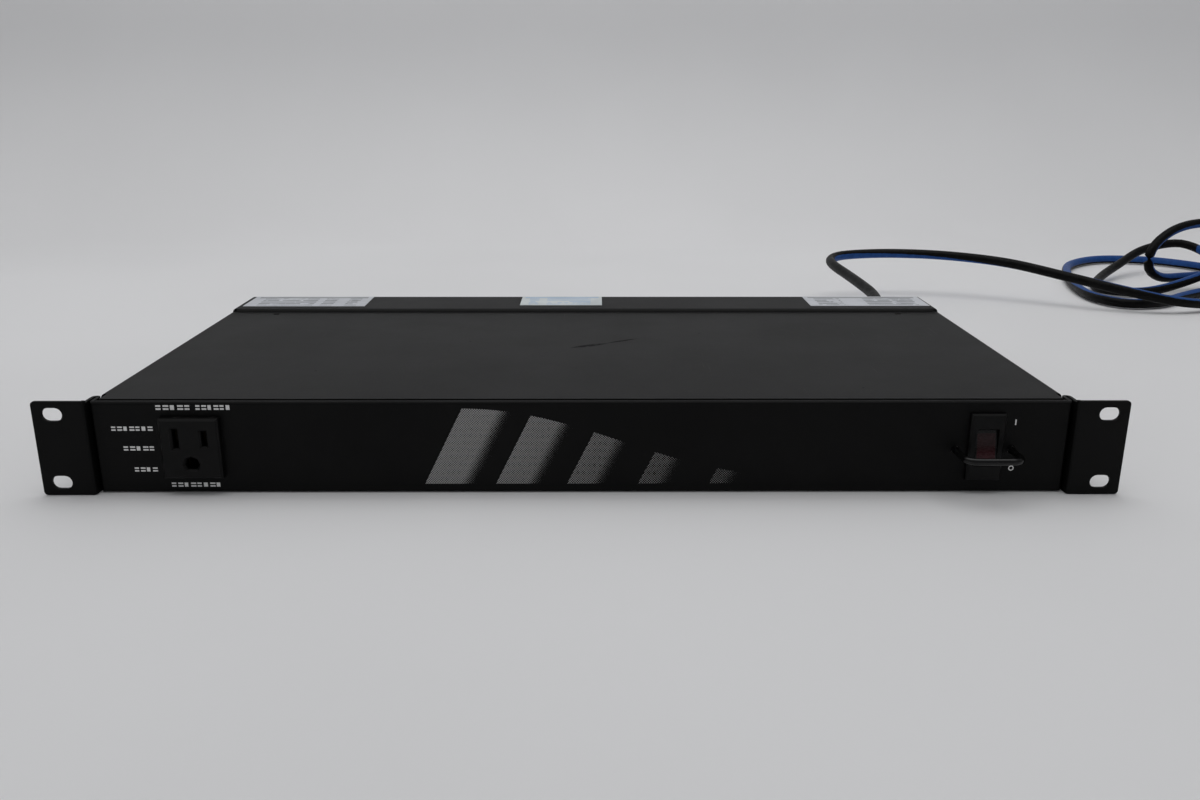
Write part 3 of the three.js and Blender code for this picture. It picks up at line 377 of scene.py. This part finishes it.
def red_window_plastic():
    """Dark red rocker, polished, with haze and fine wiping marks; a painted reflection greys its upper
    part and painted shade blackens its edges.
    """
    look = Look("red_plastic")
    cloud = look.noise(3 * MM, 3.0)
    wiped = look.noise(0.5 * MM, 3.0, 0.6, look.stretched(0.25, 1.0, 1.0))
    color = look.mix(look.fade(cloud, 0.3, 0.7), (0.022, 0.002, 0.004, 1), (0.038, 0.004, 0.007, 1))
    middle = centre("rocker")
    # Painted reflection: towards its top the rocker is painted a greyer red, standing in for the
    # ceiling light reflected by its upper half, which tilts upward.
    painted_sheen = look.fade(look.z, middle.z - 4 * MM, middle.z + 2 * MM, 0.0, 0.6)
    color = look.mix(painted_sheen, color, (0.014, 0.006, 0.006, 1))
    # Painted shade: the rocker outside a central window, with the widest band at its top, is painted
    # nearly black, standing in for the shade the bezel casts around it.
    painted_edge_shade = look.math("SUBTRACT", 1.0, look.product(
        look.span(look.x, middle.x - 4.1 * MM, middle.x + 4.1 * MM),
        look.span(look.z, middle.z - 7.4 * MM, middle.z + 6.3 * MM)))
    color = look.mix(painted_edge_shade, color, grey(0.003))
    rough = look.fade(wiped, 0.3, 0.7, 0.2, 0.34)
    normal = look.bump(wiped, 0.004 * MM, 0.3)
    return look.finish(Base_Color=color, Roughness=rough, Normal=normal, Specular_IOR_Level=0.3)


def gloss_enamel():
    """Gloss black enamel on a bent rod, with thin runs and rubbed spots."""
    look = Look("gloss_black")
    run = look.noise(4 * MM, 3.0)
    rub = look.fade(look.noise(1.2 * MM, 4.0, 0.65), 0.62, 0.74)
    color = look.mix(look.fade(run, 0.3, 0.7), grey(0.002), grey(0.004))
    color = look.mix(look.product(rub, 0.2), color, grey(0.03))
    rough = look.total(look.fade(run, 0.3, 0.7, 0.12, 0.2), look.product(rub, 0.2))
    return look.finish(Base_Color=color, Roughness=rough, Normal=look.bump(run, 0.05 * MM, 0.3),
                       Specular_IOR_Level=0.25)


BLUE_HALF_ANGLE = math.radians(75)


def cord_jacket():
    """Soft black jacket with a blue side, which the mesh's stripe attribute places."""
    look = Look("cord_jacket")
    turn = look.node("ShaderNodeAttribute", {}, attribute_name="stripe").outputs["Fac"]
    edge = look.product(look.math("SUBTRACT", look.noise(3 * MM, 2.0), 0.5), 0.25)
    side = look.fade(look.math("ADD", turn, edge), BLUE_HALF_ANGLE - 0.05, BLUE_HALF_ANGLE + 0.05,
                     1.0, 0.0)
    scuff = look.noise(5 * MM, 5.0, 0.65)
    black = look.mix(look.fade(scuff, 0.35, 0.7), grey(0.002), grey(0.005))
    blue = look.mix(look.fade(scuff, 0.3, 0.7), (0.014, 0.055, 0.2, 1), (0.022, 0.08, 0.27, 1))
    dust = look.product(look.fade(look.noise(2 * MM, 4.0), 0.5, 0.8), look.upward(), 0.05)
    color = look.mix(dust, look.mix(side, black, blue), grey(0.3))
    rough = look.fade(scuff, 0.3, 0.7, 0.36, 0.52)
    normal = look.bump(look.noise(0.5 * MM, 3.0), 0.03 * MM, 0.35)
    return look.finish(Base_Color=color, Roughness=rough, Normal=normal, Specular_IOR_Level=0.085)


def lamp_glass():
    look = Look("lamp_glass")
    haze = look.noise(0.6 * MM, 2.0)
    color = look.mix(haze, (0.8, 0.55, 0.42, 1), (0.92, 0.8, 0.7, 1))
    rough = look.fade(haze, 0.3, 0.7, 0.05, 0.15)
    return look.finish(Base_Color=color, Roughness=rough, Transmission_Weight=0.7,
                       Normal=look.bump(haze, 0.01 * MM, 0.2))


BRASS = bare_metal("brass", (0.72, 0.52, 0.2), (0.32, 0.2, 0.08), 0.3)
ZINC = bare_metal("zinc", (0.55, 0.56, 0.57), (0.34, 0.35, 0.35), 0.34)
# Painted shade: the front outlet's brass contacts get a nearly black brass, standing in for the shade
# deep inside the slots.
SHADED_BRASS = bare_metal("shaded_brass", (0.035, 0.026, 0.012), (0.015, 0.011, 0.005), 0.5)
PLASTIC = moulded_plastic("black_plastic", 0.0028, specular=0.14)
SHEET_COAT = steel_coat("powder_coat", 0.006, 0.5, 0.25)
COVER_COAT = cover_coat()
JACKET = cord_jacket()

FINISHES = {
    "powder_coat": SHEET_COAT,
    "cover_coat": COVER_COAT,
    "black_plastic": PLASTIC,
    "red_plastic": red_window_plastic(),
    "brass": BRASS,
    "zinc": ZINC,
    "gloss_black": gloss_enamel(),
    "cord_jacket": JACKET,
    "lamp_glass": lamp_glass(),
    "black_wire": moulded_plastic("black_wire", 0.012, 0.35),
    "white_wire": moulded_plastic("white_wire", 0.6, 0.35, (1.0, 0.99, 0.95)),
    "green_wire": moulded_plastic("green_wire", 0.15, 0.35, (0.12, 1.0, 0.35)),
}
GREY_FILM = (0.58, 0.6, 0.64, 1.0)
BLUE_FILM = (0.64, 0.69, 0.7, 1.0)
PALE_BLUE = (0.3, 0.45, 0.66, 1.0)
DARK_GREY = (0.12, 0.12, 0.13, 1.0)
LABEL_INK = (0.08, 0.09, 0.1, 1.0)
SPECIAL_FINISHES = {
    "faceplate": panel_coat(),
    "rear_hood": hood_coat(),
    "front_line_contact": SHADED_BRASS,
    "front_neutral_contact": SHADED_BRASS,
    "front_ground_contact": SHADED_BRASS,
    "label_left": label_film("label_left_print", "label_left", GREY_FILM, DARK_GREY, LABEL_INK,
                             ((0.1, 0.56), (0.62, 0.72), (0.82, 0.92))),
    "label_middle": label_film("label_middle_print", "label_middle", BLUE_FILM, PALE_BLUE, PALE_BLUE,
                               ((0.1, 0.22), (0.32, 0.86))),
    "label_right": label_film("label_right_print", "label_right", GREY_FILM, DARK_GREY, LABEL_INK,
                              ((0.08, 0.3), (0.5, 0.92))),
}


def dress_cad_nodes():
    """Gives every node of the frame its finish."""
    slots = {part["node"]: part["material_slot"] for part in frame["record"]["subparts"]}
    for name, node in frame["nodes"].items():
        material = SPECIAL_FINISHES.get(name) or FINISHES[slots[name]]
        node.data.materials.clear()
        node.data.materials.append(material)
        node.data.polygons.foreach_set("material_index", [0] * len(node.data.polygons))


def soften(node, width):
    """Small rounded edges, as folded, cut or moulded edges have."""
    weld = node.modifiers.new("weld", "WELD")
    weld.merge_threshold = 1e-6
    bevel = node.modifiers.new("bevel", "BEVEL")
    bevel.width = width
    bevel.segments = 2
    bevel.limit_method = "ANGLE"
    bevel.angle_limit = math.radians(30)
    bevel.use_clamp_overlap = True
    normals = node.modifiers.new("normals", "WEIGHTED_NORMAL")
    normals.keep_sharp = False


SHEET_EDGE, MOULDED_EDGE, ROCKER_EDGE, SCREW_EDGE = 0.25 * MM, 0.3 * MM, 0.8 * MM, 0.2 * MM


def soften_seen_edges():
    """Softens every node whose edges can be seen from outside."""
    nodes = frame["nodes"]
    for name in ("faceplate", "top_cover", "rear_hood", "chassis_tray"):
        soften(nodes[name], SHEET_EDGE)
    for name in ("front_outlet", "switch_housing"):
        soften(nodes[name], MOULDED_EDGE)
    soften(nodes["rocker"], ROCKER_EDGE)
    for name, node in nodes.items():
        if name.startswith("rear_outlet"):
            soften(node, MOULDED_EDGE)
        elif "_screw_" in name:
            soften(node, SCREW_EDGE)


# ------------------------------------------------------------------ pieces made here


def add_piece(name, mesh, material, body, slot, *nodes):
    """Links a finished mesh drawn in the row frame, smooth, riding on a body for some nodes."""
    piece = bpy.data.objects.new(name, mesh)
    bpy.context.scene.collection.objects.link(piece)
    mesh.materials.clear()
    mesh.materials.append(material)
    mesh.polygons.foreach_set("use_smooth", [True] * len(mesh.polygons))
    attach(piece, body)
    if nodes:
        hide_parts(*nodes)
    return piece


def mesh_from(name, build, closed=True):
    """A mesh from what the given function draws into an empty bmesh."""
    bm = bmesh.new()
    build(bm)
    if closed:
        bmesh.ops.recalc_face_normals(bm, faces=bm.faces)
    mesh = bpy.data.meshes.new(name)
    bm.to_mesh(mesh)
    bm.free()
    return mesh


def join_rings(bm, rings, closed=False):
    """Quads between successive rings of vertices, with flat caps unless the rings close up."""
    pairs = list(zip(rings, rings[1:]))
    if closed:
        pairs.append((rings[-1], rings[0]))
    for first, second in pairs:
        count = len(first)
        for i in range(count):
            j = (i + 1) % count
            bm.faces.new((first[i], first[j], second[j], second[i]))
    if not closed:
        bm.faces.new(list(reversed(rings[0])))
        bm.faces.new(rings[-1])


def lathe(bm, profile, origin, sides):
    """Turns a closed (radius, along) profile about the Y axis through origin."""
    rings = []
    for i in range(sides):
        angle = 2 * math.pi * i / sides
        cos, sin = math.cos(angle), math.sin(angle)
        rings.append([bm.verts.new(origin + Vector((radius * cos, along, radius * sin)))
                      for radius, along in profile])
    join_rings(bm, rings, closed=True)


def node_rings(node):
    """Centres of a swept node's rings of vertices, from its lowest-Y end to its other end."""
    bm = bmesh.new()
    bm.from_mesh(frame["nodes"][node].data)
    bmesh.ops.remove_doubles(bm, verts=bm.verts, dist=1e-6)
    lowest = min(vertex.co.y for vertex in bm.verts)
    ring_now = {vertex for vertex in bm.verts if vertex.co.y < lowest + 1e-5}
    seen, centres = set(), []
    while ring_now:
        centres.append(sum((vertex.co for vertex in ring_now), Vector()) / len(ring_now))
        seen |= ring_now
        around = {edge.other_vert(vertex) for vertex in ring_now for edge in vertex.link_edges}
        ring_now = around - seen
    bm.free()
    return centres


def smooth_path(points, times):
    """Catmull-Rom points through the given ones, with times steps for each of theirs."""
    path = []
    last = len(points) - 1
    for i in range(last):
        p0, p1, p2, p3 = (points[min(max(j, 0), last)] for j in (i - 1, i, i + 1, i + 2))
        for step in range(times):
            t = step / times
            path.append(0.5 * (2 * p1 + (p2 - p0) * t + (2 * p0 - 5 * p1 + 4 * p2 - p3) * t * t
                               + (3 * p1 - p0 - 3 * p2 + p3) * t ** 3))
    path.append(points[last])
    return path


def directions(path):
    last = len(path) - 1
    return [(path[min(i + 1, last)] - path[max(i - 1, 0)]).normalized() for i in range(last + 1)]


CORD_SIDES = 24
CORD_RADIUS = 3.9 * MM


def cord_mesh():
    """The cord, round and smooth, with each point's turn away from the middle of its blue side."""
    path = smooth_path(node_rings("power_cord"), 2)
    facing = blue_directions(path)
    up = Vector((0, 0, 1))
    stripe_turns = []

    def build(bm):
        rings = []
        for point, along, inward in zip(path, directions(path), facing):
            right = along.cross(up).normalized()
            over = right.cross(along)
            blue = math.atan2(inward.dot(right), inward.dot(over))
            ring_points = []
            for i in range(CORD_SIDES):
                angle = 2 * math.pi * i / CORD_SIDES
                offset = over * math.cos(angle) + right * math.sin(angle)
                ring_points.append(bm.verts.new(point + offset * CORD_RADIUS))
                away = (angle - blue + math.pi) % (2 * math.pi) - math.pi
                stripe_turns.append(abs(away))
            rings.append(ring_points)
        join_rings(bm, rings)

    mesh = mesh_from("cord", build)
    attribute = mesh.attributes.new("stripe", "FLOAT", "POINT")
    attribute.data.foreach_set("value", stripe_turns)
    return mesh


BEND_REACH = 8  # points of the path on each side that decide which way it bends
LEAD_TURNS = (100 * MM, 200 * MM)  # how far right of the exit the blue turns from down to back
COIL_STARTS = (200 * MM, 250 * MM)
ROLL_BEGINS, ROLL_ENDS = (0.66, 0.7), (0.77, 0.74)  # as parts of the path
STANDING_TURN = (0.72, 0.8)


def ramp(value, low, high):
    """0 at low, 1 at high, straight between them and level beyond."""
    return min(max((value - low) / (high - low), 0.0), 1.0)


def blue_directions(path):
    """Which way the blue side faces: down, then back, on the lead; up and inside the bends of the
    coil, less upward on its standing turn, and away where the cord has rolled over."""
    along = directions(path)
    last = len(path) - 1
    exit_x = centre("cord_bushing").x
    down, back, up = Vector((0.7, 0, -1.2)), Vector((0, 1.2, 0)), Vector((0, 0, 1.4))
    facing = []
    for i, point in enumerate(path):
        inward = along[min(i + BEND_REACH, last)] - along[max(i - BEND_REACH, 0)]
        out = point.x - exit_x
        lead = down.lerp(back, ramp(out, *LEAD_TURNS))
        coil = ramp(out, *COIL_STARTS)
        rolled = ramp(i / last, *ROLL_BEGINS) * ramp(i / last, *ROLL_ENDS)
        standing = ramp(i / last, *STANDING_TURN)
        bias = lead.lerp(up * (1 - 0.7 * standing), coil - 2 * rolled)
        facing.append(inward * (0.6 + 0.4 * coil - 1.6 * rolled) + bias)
    smoothed = []
    for i in range(last + 1):
        near = facing[max(i - BEND_REACH, 0):i + BEND_REACH + 1]
        smoothed.append(sum(near, Vector()).normalized())
    return smoothed


GUARD_BEND = 5 * MM
GUARD_SIDES = 20


def guard_mesh():
    """The guard as a smoothly bent round rod."""
    low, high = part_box("switch_guard")
    radius = (high.z - low.z) / 2
    bend = GUARD_BEND
    left, right = low.x + radius, high.x - radius
    front, z = low.y + radius, (low.z + high.z) / 2
    path = [Vector((left, high.y, z))]
    steps = 12
    for centre_x, start in ((left + bend, 180), (right - bend, 270)):
        for i in range(steps + 1):
            angle = math.radians(start + 90 * i / steps)
            path.append(Vector((centre_x + bend * math.cos(angle),
                                front + bend + bend * math.sin(angle), z)))
    path.append(Vector((right, high.y, z)))
    up = Vector((0, 0, 1))

    def build(bm):
        rings = []
        for point, along in zip(path, directions(path)):
            side = along.cross(up)
            ring_points = []
            for i in range(GUARD_SIDES):
                angle = 2 * math.pi * i / GUARD_SIDES
                ring_points.append(bm.verts.new(
                    point + (up * math.cos(angle) + side * math.sin(angle)) * radius))
            rings.append(ring_points)
        join_rings(bm, rings)

    return mesh_from("guard", build)


def bushing_mesh():
    """The strain relief: a flange on the rear wall and a ribbed, tapering tail."""
    low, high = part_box("cord_bushing")
    middle = centre("cord_bushing")
    flange = (high.x - low.x) / 2
    bore, neck, tail = 4.0 * MM, 6.9 * MM, 5.5 * MM
    seat = low.y + 6 * MM
    profile = [(bore, low.y), (neck - 0.3 * MM, low.y), (neck, low.y + 0.3 * MM), (neck, seat)]
    profile += [(flange - 0.3 * MM, seat), (flange, seat + 0.3 * MM)]
    profile += [(flange, seat + 1.8 * MM), (flange - 0.6 * MM, seat + 2.4 * MM)]
    ribs = 4
    start, end = seat + 2.4 * MM, high.y
    pitch = (end - start) / ribs
    for i in range(ribs):
        outer = neck - 0.4 * MM - (neck - 0.4 * MM - tail) * i / (ribs - 1)
        at = start + pitch * i
        profile += [(outer - 0.7 * MM, at + 0.1 * MM), (outer - 0.7 * MM, at + 0.4 * pitch)]
        profile += [(outer, at + 0.55 * pitch), (outer, at + pitch - 0.2 * MM)]
    profile += [(bore + 0.4 * MM, high.y), (bore, high.y - 0.3 * MM)]
    origin = Vector((middle.x, 0, middle.z))
    return mesh_from("bushing", lambda bm: lathe(bm, profile, origin, 40))


PLUG_SIDES = 48
PLUG_WIDEST = 13


def plug_mesh():
    """The moulded plug: a ribbed sleeve on the cord, swelling into a rounded grip."""
    low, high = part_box("plug_body")
    middle = centre("plug_body")
    half = (high.z - low.z) / 2
    # along the plug from the cord end: distance, half size, squareness (2 is round)
    stations = [(0.0, 5.2, 2), (0.4, 5.9, 2)]
    for i in range(4):
        at = 1.2 + 3.0 * i
        stations += [(at, 6.5, 2), (at + 1.5, 6.5, 2), (at + 1.8, 5.6, 2), (at + 2.7, 5.6, 2)]
    stations += [(13.4, 6.8, 2), (15, 8.0, 2.3), (18, 10.6, 2.8), (21.5, 12.3, 3.3)]
    stations += [(25, 12.9, 3.6), (27, 12.5, 3.6), (29, 12.5, 3.6), (31, 12.9, 3.6)]
    stations += [(36, PLUG_WIDEST, 3.8), (38.6, 12.9, 3.8), (39.6, 12.2, 3.8), (40, 11.2, 3.8)]

    def build(bm):
        rings = []
        for distance, size, square in stations:
            scale = size / PLUG_WIDEST * half
            ring_points = []
            for i in range(PLUG_SIDES):
                angle = 2 * math.pi * i / PLUG_SIDES
                cos, sin = math.cos(angle), math.sin(angle)
                reach = (abs(cos) ** square + abs(sin) ** square) ** (-1 / square)
                ring_points.append(bm.verts.new(Vector((
                    low.x + distance * MM, middle.y + scale * reach * cos,
                    middle.z + scale * reach * sin))))
            rings.append(ring_points)
        join_rings(bm, rings)

    return mesh_from("plug", build)


LIP_REACH = 2.4 * MM
LIP_STEPS = 8
LIP_TAPER = 3.0  # mm from each end over which the lip grows to its full reach


def hood_lip_mesh():
    """The rounded lip folded down from the hood's front edge onto the cover."""
    low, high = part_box("rear_hood")
    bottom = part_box("top_cover")[1].z + 0.04 * MM
    back = low.y - 0.02 * MM
    tall = high.z - bottom
    half = high.x - 2.7 * MM

    def build(bm):
        rings = []
        for inset in (0, 0.3, 0.9, 1.8, LIP_TAPER):
            grown = 0.15 + 0.85 * inset / LIP_TAPER
            rings.append((inset * MM - half, LIP_REACH * math.sin(grown * math.pi / 2)))
        rings += [(-x, reach) for x, reach in reversed(rings)]
        drawn = []
        for x, reach in rings:
            turns = [math.pi / 2 * i / LIP_STEPS for i in range(LIP_STEPS + 1)]
            profile = [(back - reach * math.sin(turn), bottom + tall * math.cos(turn))
                       for turn in turns] + [(back, bottom)]
            drawn.append([bm.verts.new((x, y, z)) for y, z in profile])
        join_rings(bm, drawn)

    return mesh_from("hood_lip", build)


CRISP_ANGLE = math.radians(40)


def build_pieces():
    """The pieces drawn here in place of nodes, and the lip that the hood gains."""
    add_piece("cord_sheath", cord_mesh(), JACKET, "chassis", "cord_jacket", "power_cord")
    add_piece("guard_rod", guard_mesh(), FINISHES["gloss_black"], "chassis",
              "gloss_black", "switch_guard")
    bushing = add_piece("bushing_ribbed", bushing_mesh(), PLASTIC, "chassis",
                        "black_plastic", "cord_bushing")
    lip = add_piece("hood_lip", hood_lip_mesh(), SPECIAL_FINISHES["rear_hood"], "chassis",
                    "cover_coat")
    plug = add_piece("plug_moulding", plug_mesh(), PLASTIC, "chassis", "cord_jacket", "plug_body")
    for piece in (bushing, plug, lip):
        piece.data.set_sharp_from_angle(angle=CRISP_ANGLE)


# ------------------------------------------------------------------ stage


def stage_paper():
    """Pale paper that is only there from its front, so a view from behind looks through it."""
    look = Look("stage_paper")
    mottle = look.noise(0.5, 3.0)
    fibre = look.noise(1.5 * MM, 3.0)
    color = look.mix(look.fade(mottle, 0.3, 0.7), grey(0.78, (1, 1, 1.01)), grey(0.82, (1, 1, 1.01)))
    paper = look.finish(Base_Color=color, Roughness=look.fade(mottle, 0.3, 0.7, 0.55, 0.65),
                        Normal=look.bump(fibre, 0.02 * MM, 0.2), Specular_IOR_Level=0.3)
    behind = look.tree.nodes.new("ShaderNodeNewGeometry").outputs["Backfacing"]
    clear = look.tree.nodes.new("ShaderNodeBsdfTransparent").outputs[0]
    seen = look.node("ShaderNodeMixShader", {0: behind, 1: look.shader.outputs[0], 2: clear})
    look.feed(look.tree.nodes["Material Output"].inputs["Surface"], seen.outputs[0])
    return paper


BACKDROP_STEPS = 12
FLOOR_GAP = 0.3 * MM
BACKDROP = {"near": -3.0, "foot": 0.62, "bend": 0.25, "top": 3.0, "half_width": 4.0}


def build_stage():
    """A pale floor that curves up into a pale backdrop."""
    foot, bend, half = BACKDROP["foot"], BACKDROP["bend"], BACKDROP["half_width"]
    profile = [(BACKDROP["near"], 0.0), (foot, 0.0)]
    for i in range(1, BACKDROP_STEPS + 1):
        angle = math.radians(90 * i / BACKDROP_STEPS)
        profile.append((foot + bend * math.sin(angle), bend * (1 - math.cos(angle))))
    profile.append((foot + bend, BACKDROP["top"]))

    def build(bm):
        left, right = ([bm.verts.new((x, y, z - FLOOR_GAP)) for y, z in profile]
                       for x in (-half, half))
        for i in range(len(profile) - 1):
            bm.faces.new((left[i], right[i], right[i + 1], left[i + 1]))

    mesh = mesh_from("stage", build, closed=False)
    stage = bpy.data.objects.new("floor_and_backdrop", mesh)
    bpy.context.scene.collection.objects.link(stage)
    mesh.polygons.foreach_set("use_smooth", [True] * len(mesh.polygons))
    mesh.materials.append(stage_paper())


def add_area_light(name, place, target, width, height, power):
    data = bpy.data.lights.new(name, "AREA")
    data.shape = "RECTANGLE"
    data.size, data.size_y = width, height
    data.energy = power
    light = bpy.data.objects.new(name, data)
    light.location = place
    light.rotation_euler = (Vector(target) - Vector(place)).to_track_quat("-Z", "Y").to_euler()
    bpy.context.scene.collection.objects.link(light)


ROOM_LEVEL, CEILING_POWER, WALL_POWER = 0.26, 15.0, 3.6


def build_lights():
    """An even room, a wide light overhead and a weak one for the backdrop."""
    world = bpy.data.worlds.new("soft_room")
    world.use_nodes = True
    world.node_tree.nodes["Background"].inputs["Color"].default_value = (0.97, 0.98, 1.0, 1.0)
    world.node_tree.nodes["Background"].inputs["Strength"].default_value = ROOM_LEVEL
    bpy.context.scene.world = world
    add_area_light("ceiling", (0.0, 0.1, 1.9), (0.0, 0.1, 0.0), 2.4, 1.6, CEILING_POWER)
    add_area_light("wall_wash", (0.0, 0.1, 1.6), (0.0, 0.9, 0.4), 2.4, 0.8, WALL_POWER)


# The camera was fitted to the rack ears' standard hole places in the photo.
CAMERA_PLACE = (0.00602, -0.55136, 0.17679)
CAMERA_TURNS = (73.060, -0.0386, -0.2416)
CAMERA_LENS = 31.165


def build_camera():
    """The photo's viewing angle."""
    data = bpy.data.cameras.new("camera")
    data.sensor_width = 36.0
    data.lens = CAMERA_LENS
    data.clip_start, data.clip_end = 0.01, 20.0
    camera = bpy.data.objects.new("camera", data)
    camera.location = CAMERA_PLACE
    camera.rotation_euler = [math.radians(angle) for angle in CAMERA_TURNS]
    bpy.context.scene.collection.objects.link(camera)
    bpy.context.scene.camera = camera


dress_cad_nodes()
soften_seen_edges()
build_pieces()
build_stage()
build_lights()
build_camera()
bpy.context.scene.view_settings.view_transform = "Standard"
